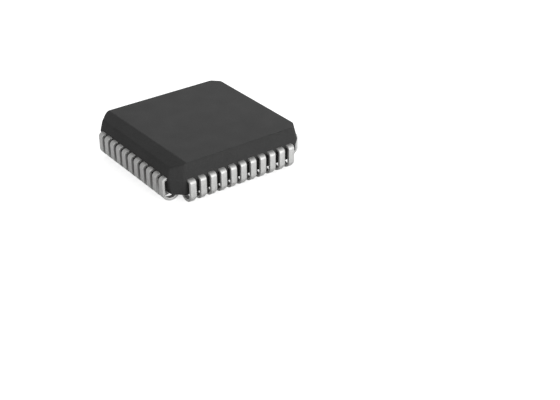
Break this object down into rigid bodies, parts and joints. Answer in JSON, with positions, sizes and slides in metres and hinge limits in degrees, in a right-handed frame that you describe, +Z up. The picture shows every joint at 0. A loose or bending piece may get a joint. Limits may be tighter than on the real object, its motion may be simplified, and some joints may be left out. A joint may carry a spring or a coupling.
{
  "type": "plastic leaded chip carrier",
  "caption": "Square moulded chip carrier with drafted walls, a bevelled index side and J-shaped tin-plated leads curled in under every side, for soldering or a socket.",
  "frame": {"origin": "centre of the package on the seating plane, where the curled leads touch the board", "axes": "+Z up out of the board; -Y out of side 1, which has the bevelled edge and lead 1 in its middle; +X out of side 2, so the index corner is at +X, -Y"},
  "size_m": [0.0176, 0.0176, 0.0046],
  "materials": {
    "moulding_compound": "matte, as moulded",
    "tin_plate": "matte tin plate on copper alloy",
    "copper_alloy": "stamped sheet",
    "die_adhesive": "silver-filled epoxy",
    "silicon": "polished",
    "gold_wire": "drawn wire"
  },
  "bodies": {
    "root": {"mould_body": "moulding_compound", "die_pad": "copper_alloy", "die_attach": "die_adhesive", "silicon_die": "silicon", "bond_wires": "gold_wire", "lead_01": "tin_plate", "lead_02": "tin_plate", "lead_03": "tin_plate", "lead_04": "tin_plate", "lead_05": "tin_plate", "lead_06": "tin_plate", "lead_07": "tin_plate", "lead_08": "tin_plate", "lead_09": "tin_plate", "lead_10": "tin_plate", "lead_11": "tin_plate", "lead_12": "tin_plate", "lead_13": "tin_plate", "lead_14": "tin_plate", "lead_15": "tin_plate", "lead_16": "tin_plate", "lead_17": "tin_plate", "lead_18": "tin_plate", "lead_19": "tin_plate", "lead_20": "tin_plate", "lead_21": "tin_plate", "lead_22": "tin_plate", "lead_23": "tin_plate", "lead_24": "tin_plate", "lead_25": "tin_plate", "lead_26": "tin_plate", "lead_27": "tin_plate", "lead_28": "tin_plate", "lead_29": "tin_plate", "lead_30": "tin_plate", "lead_31": "tin_plate", "lead_32": "tin_plate", "lead_33": "tin_plate", "lead_34": "tin_plate", "lead_35": "tin_plate", "lead_36": "tin_plate", "lead_37": "tin_plate", "lead_38": "tin_plate", "lead_39": "tin_plate", "lead_40": "tin_plate", "lead_41": "tin_plate", "lead_42": "tin_plate", "lead_43": "tin_plate", "lead_44": "tin_plate"}
  },
  "joints": []
}
